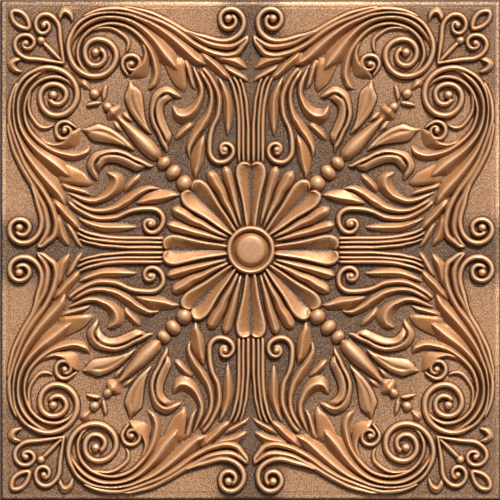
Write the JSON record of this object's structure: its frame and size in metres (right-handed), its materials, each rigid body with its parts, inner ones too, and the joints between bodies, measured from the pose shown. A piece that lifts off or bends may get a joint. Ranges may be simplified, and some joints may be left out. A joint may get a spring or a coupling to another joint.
{
  "type": "foam ceiling tile",
  "caption": "Square moulded foam ceiling tile with a flat back, rounded rim and scrollwork relief, painted antique copper.",
  "frame": {"origin": "centre of the flat back face", "axes": "+Z out of the decorated face, +X and +Y along the tile's edges"},
  "size_m": [0.498, 0.498, 0.01],
  "materials": {
    "copper_paint": "satin antique copper paint on moulded foam"
  },
  "bodies": {
    "root": {"foam_tile": "copper_paint"}
  },
  "joints": []
}
